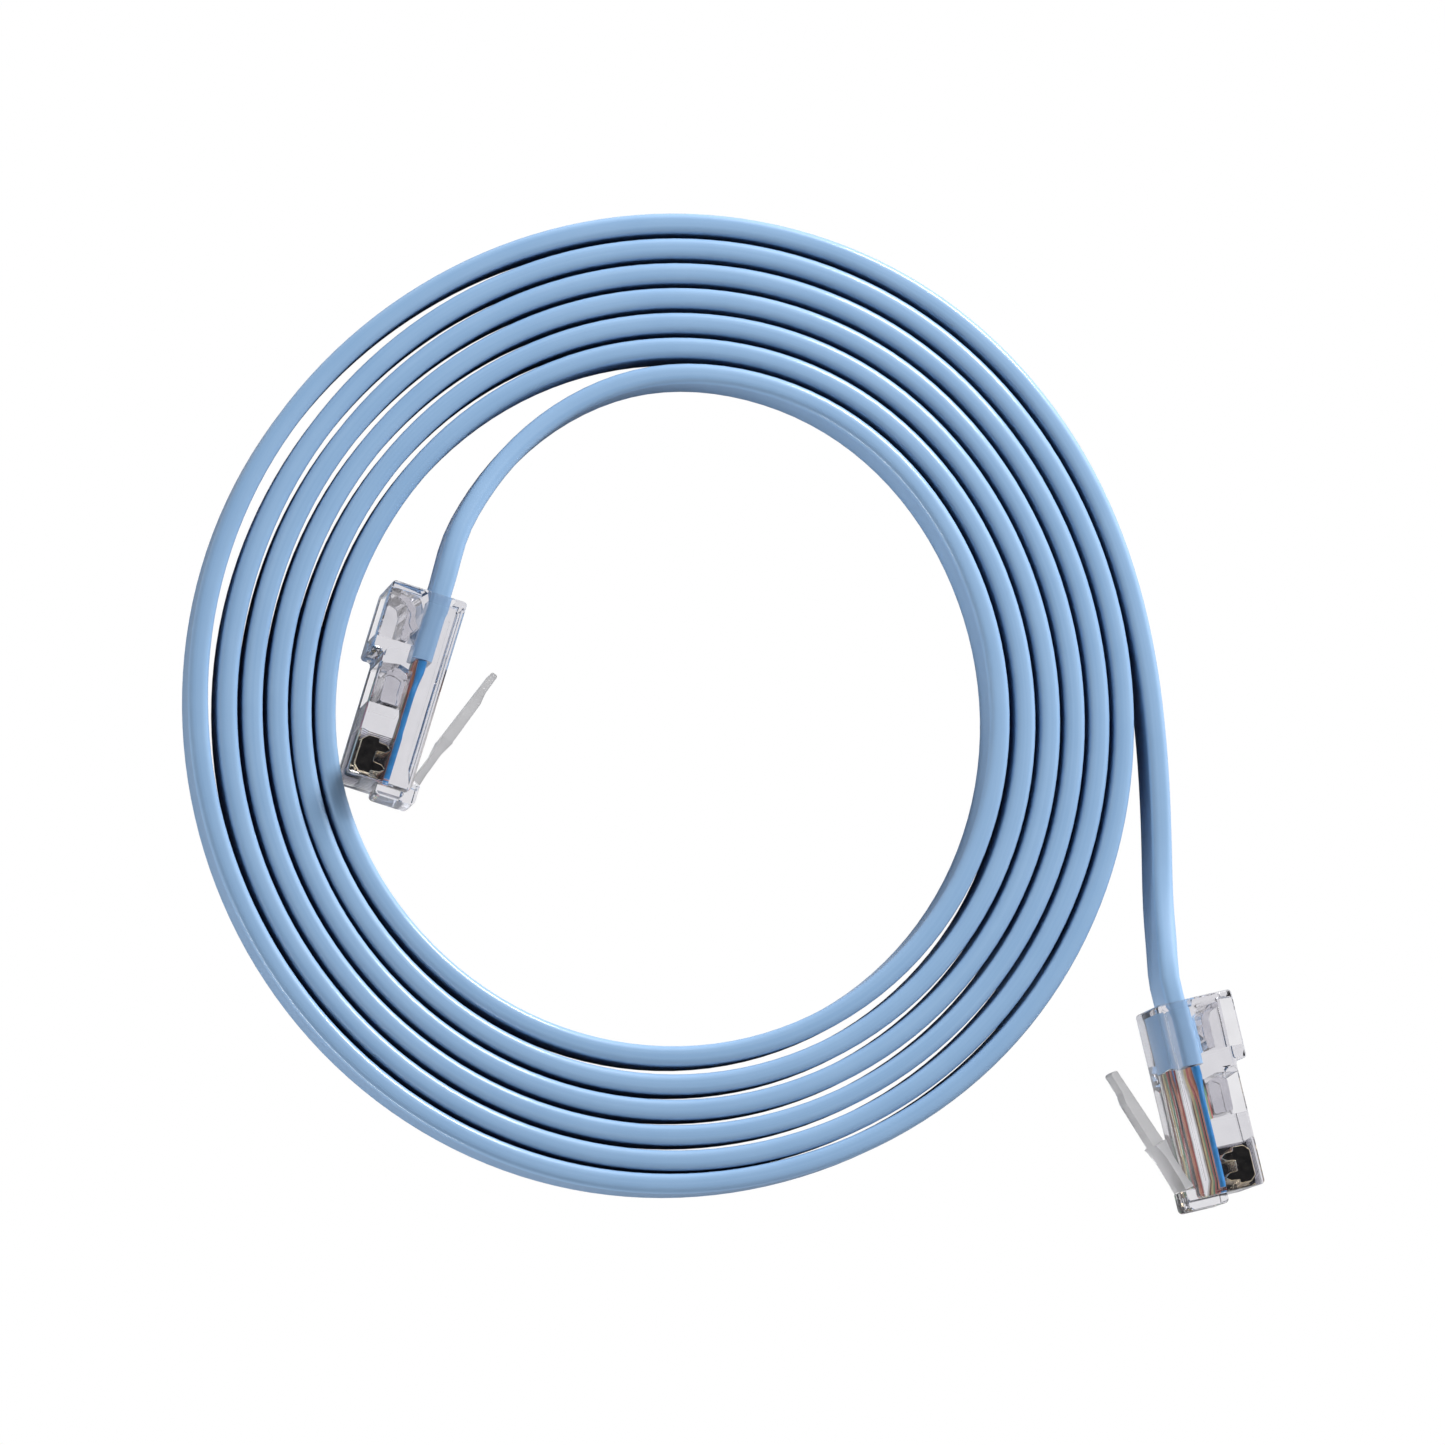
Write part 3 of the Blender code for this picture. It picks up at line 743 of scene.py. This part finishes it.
def build_housing(plug, matrix, clear):
    """The body, stepped down towards the nose, with the block that the latch grows from."""
    body = [
        (0.0, 0.0, 0.0),
        (PLUG_LENGTH, 0.0, 0.0),
        (PLUG_LENGTH, REAR_HEIGHT, 0.0),
        (STEP_X, REAR_HEIGHT, 0.0),
        (STEP_X, FRONT_HEIGHT, 0.0),
        (0.0, FRONT_HEIGHT, 0.0),
    ]
    root_block = [(-1.0, -1.0, 0.5), (1.2, -1.0, 0.0), (1.2, 3.2, 0.0), (-1.0, 3.2, 0.45)]
    housing = prism("housing", body, PLUG_WIDTH)
    bevel(housing, EDGE_ROUND)
    block = prism("block", root_block, LATCH_WIDTH)
    bevel(block, 0.15, 2)
    apply_modifiers(block)
    combine(housing, [block], "UNION")
    combine(housing, housing_hollows(), "DIFFERENCE")
    piece = settle(housing, f"{plug}_housing_clear", matrix, [clear])
    let_light_in(piece)
    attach(piece, ROOT_BODY)
    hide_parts(f"{plug}_housing")
    return piece


def build_latch(plug, matrix, clear):
    """The arm with its hinge line at its own origin, then turned to its rest angle."""
    side = [
        (-0.18, -0.42, 0.0),
        (0.9, -0.36, 0.0),
        (3.6, -0.35, 0.0),
        (FINGER_START, -0.62, 0.3),
        (10.5, -0.62, 0.4),
        (11.7, -0.37, 0.4),
        (13.9, -0.37, 0.25),
        (13.9, 0.37, 0.25),
        (FINGER_START, 0.62, 0.6),
        (3.6, 0.35, 0.0),
        (0.9, 0.36, 0.0),
        (-0.18, 0.5, 0.0),
    ]
    arm = prism("arm", side, LATCH_WIDTH)
    notch = box(FINGER_START, 15.0, -3.0, 3.0)
    notch_width = 3.0
    middle = (FINGER_WIDTH + notch_width) / 2
    notches = [prism("notch", notch, notch_width, edge * middle) for edge in (-1, 1)]
    combine(arm, notches, "DIFFERENCE")
    bevel(arm, SMALL_ROUND, 2, 30.0)
    apply_modifiers(arm)
    rest = Matrix.Rotation(math.radians(LATCH_ANGLE), 4, "Y")
    hinge = Matrix.Translation(Vector((HINGE_X, 0.0, HINGE_HEIGHT)) * MM)
    in_world = matrix @ hinge @ rest
    piece = settle(arm, f"{plug}_latch_clear", in_world, [clear])
    let_light_in(piece)
    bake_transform(piece)
    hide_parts(f"{plug}_latch")
    return piece


def build_clamps(plug, matrix, clear):
    """The two bars pressed down in their pockets, one on the jacket and one over the conductors."""
    jacket_clamp = [
        (14.75, 4.55, 0.2),
        (15.6, 4.5, 0.0),
        (16.4, 3.86, 0.12),
        (17.2, 4.5, 0.0),
        (18.1, 4.6, 0.5),
        (19.0, 5.6, 0.5),
        (19.1, 6.6, 0.2),
        (18.6, 6.6, 0.2),
        (18.3, 5.7, 0.4),
        (17.6, 5.35, 0.4),
        (14.75, 5.3, 0.25),
    ]
    wire_clamp = [
        (8.1, 3.5, 0.2),
        (11.4, 3.5, 0.3),
        (11.9, 4.7, 0.4),
        (11.3, 5.6, 0.3),
        (8.1, 5.5, 0.3),
    ]
    shapes = {
        "jacket_clamp": (jacket_clamp, JACKET_CLAMP_WIDTH),
        "conductor_clamp": (wire_clamp, WIRE_CLAMP_WIDTH),
    }
    made = []
    for name, (outline, width) in shapes.items():
        bar = prism(name, outline, width)
        bevel(bar, 0.1, 2)
        apply_modifiers(bar)
        piece = settle(bar, f"{plug}_{name}_clear", matrix, [clear])
        let_light_in(piece)
        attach(piece, ROOT_BODY)
        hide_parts(f"{plug}_{name}")
        made.append(piece)
    return made


def build_contacts(plug, matrix, plated, bare_painted_shade):
    """Each blade is plated on its stamped edges. Its bare flat sides are near-black metal, which is painted
    shade.
    """
    outline = [
        (4.45, 4.35, 0.0),
        (4.45, 5.5, 0.0),
        (3.85, 6.1, 0.2),
        (1.2, 6.1, 0.2),
        (0.65, 5.55, 0.2),
        (0.65, 4.35, 0.0),
    ]
    for centre in TINE_PLACES:
        outline.append((centre - 0.5, 4.35, 0.12))
        outline.append((centre - 0.42, 3.5, 0.0))
        outline.append((centre, 3.0, 0.0))
        outline.append((centre + 0.42, 3.5, 0.0))
        outline.append((centre + 0.5, 4.35, 0.12))
    made = []
    for pin in range(1, PINS + 1):
        blade = prism("blade", outline, BLADE_THICKNESS, pin_place(pin, PIN_PITCH))
        bevel(blade, BLADE_BEVEL, 1)
        apply_modifiers(blade)
        flat = [abs(face.normal.y) > 0.95 for face in blade.data.polygons]
        piece = settle(blade, f"{plug}_contact_{pin}_plated", matrix, [plated, bare_painted_shade])
        for face, is_flat in zip(piece.data.polygons, flat):
            face.material_index = 1 if is_flat else 0
        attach(piece, ROOT_BODY)
        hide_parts(f"{plug}_contact_{pin}")
        made.append(piece)
    return made


def wire_width(x):
    """A conductor's share of its full diameter, so far from the nose: full at the jacket's cut end."""
    share = min(1.0, max(0.0, (x - CHANNEL_X) / SPREAD_LENGTH))
    eased = share * share * (3.0 - 2.0 * share)
    return CHANNEL_SHARE + (1.0 - CHANNEL_SHARE) * eased


def build_conductors(plug, matrix, wires):
    """Insulated conductors from the jacket's cut end, spreading into their channels."""
    order = list(WIRE_COLOURS)
    if plug == "plug_b":
        order.reverse()
    radius = WIRE_DIAMETER / 2 * MM
    turns = [2 * math.pi * i / WIRE_SIDES for i in range(WIRE_SIDES)]
    section = [(radius * math.cos(turn), radius * math.sin(turn)) for turn in turns]
    made = []
    for pin in range(1, PINS + 1):
        near = pin_place(pin, WIRE_START_PITCH)
        apart = pin_place(pin, PIN_PITCH)
        rise = -WIRE_RISE if pin % 2 else WIRE_RISE
        points = [
            (13.3, near, CORE_HEIGHT + rise),
            (12.4, near, CORE_HEIGHT + 1.3 * rise),
            (11.0, (near + apart) / 2, CORE_HEIGHT + 0.9 * rise),
            (9.6, apart, CORE_HEIGHT + 0.1 * rise),
            (8.4, apart, CORE_HEIGHT),
            (4.5, apart, CORE_HEIGHT),
            (0.7, apart, CORE_HEIGHT),
        ]
        route = smooth_route([Vector(point) * MM for point in points], WIRE_STEP * MM)
        widths = [wire_width(point[0] / MM) for point in route]
        wire = sweep_section("wire", route, section, widths)
        colour = order[pin - 1]
        piece = settle(wire, f"{plug}_conductor_{pin}_insulation", matrix, [wires[colour]], 60.0)
        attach(piece, ROOT_BODY)
        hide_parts(f"{plug}_conductor_{pin}")
        made.append(piece)
    return made


def build_cable(plug_frames, jacket):
    """One unbroken jacket from plug to plug, from the cut end in plug A to the cut end in plug B."""
    route = cable_route(plug_frames["plug_a"], plug_frames["plug_b"])
    path = smooth_route(route, RING_STEP)
    cable = sweep_section("cable_jacket", path, jacket_section())
    cable.data.materials.append(jacket)
    cable.data.set_sharp_from_angle(angle=math.radians(60.0))
    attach(cable, ROOT_BODY)
    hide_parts("cable_coil", "cable_inner_end", "cable_outer_end")
    return cable


set_camera()
set_light()
make_floor()
jacket_pvc = jacket_material()
polycarbonate = clear_material("clear_polycarbonate", *CLEAR_COLOURS, 0.0)
latch_plastic = clear_material("frosted_polycarbonate", *FROSTED_COLOURS, 0.3)
gold_plate = metal_material("gold_plate", *GOLD_COLOURS, 0.25)
# Near-black metal for the blades' flat sides: painted shade on bare metal.
bare_bronze_painted_shade = metal_material("bare_bronze_painted_shade", *BRONZE_PAINTED_SHADE_COLOURS, 0.35)
insulation = {name: wire_material(name, colour) for name, colour in WIRE_COLOURS.items()}
frames = {plug: plug_matrix(plug) for plug in ("plug_a", "plug_b")}
for plug, matrix in frames.items():
    build_housing(plug, matrix, polycarbonate)
    build_latch(plug, matrix, latch_plastic)
    build_clamps(plug, matrix, polycarbonate)
    build_contacts(plug, matrix, gold_plate, bare_bronze_painted_shade)
    build_conductors(plug, matrix, insulation)
build_cable(frames, jacket_pvc)
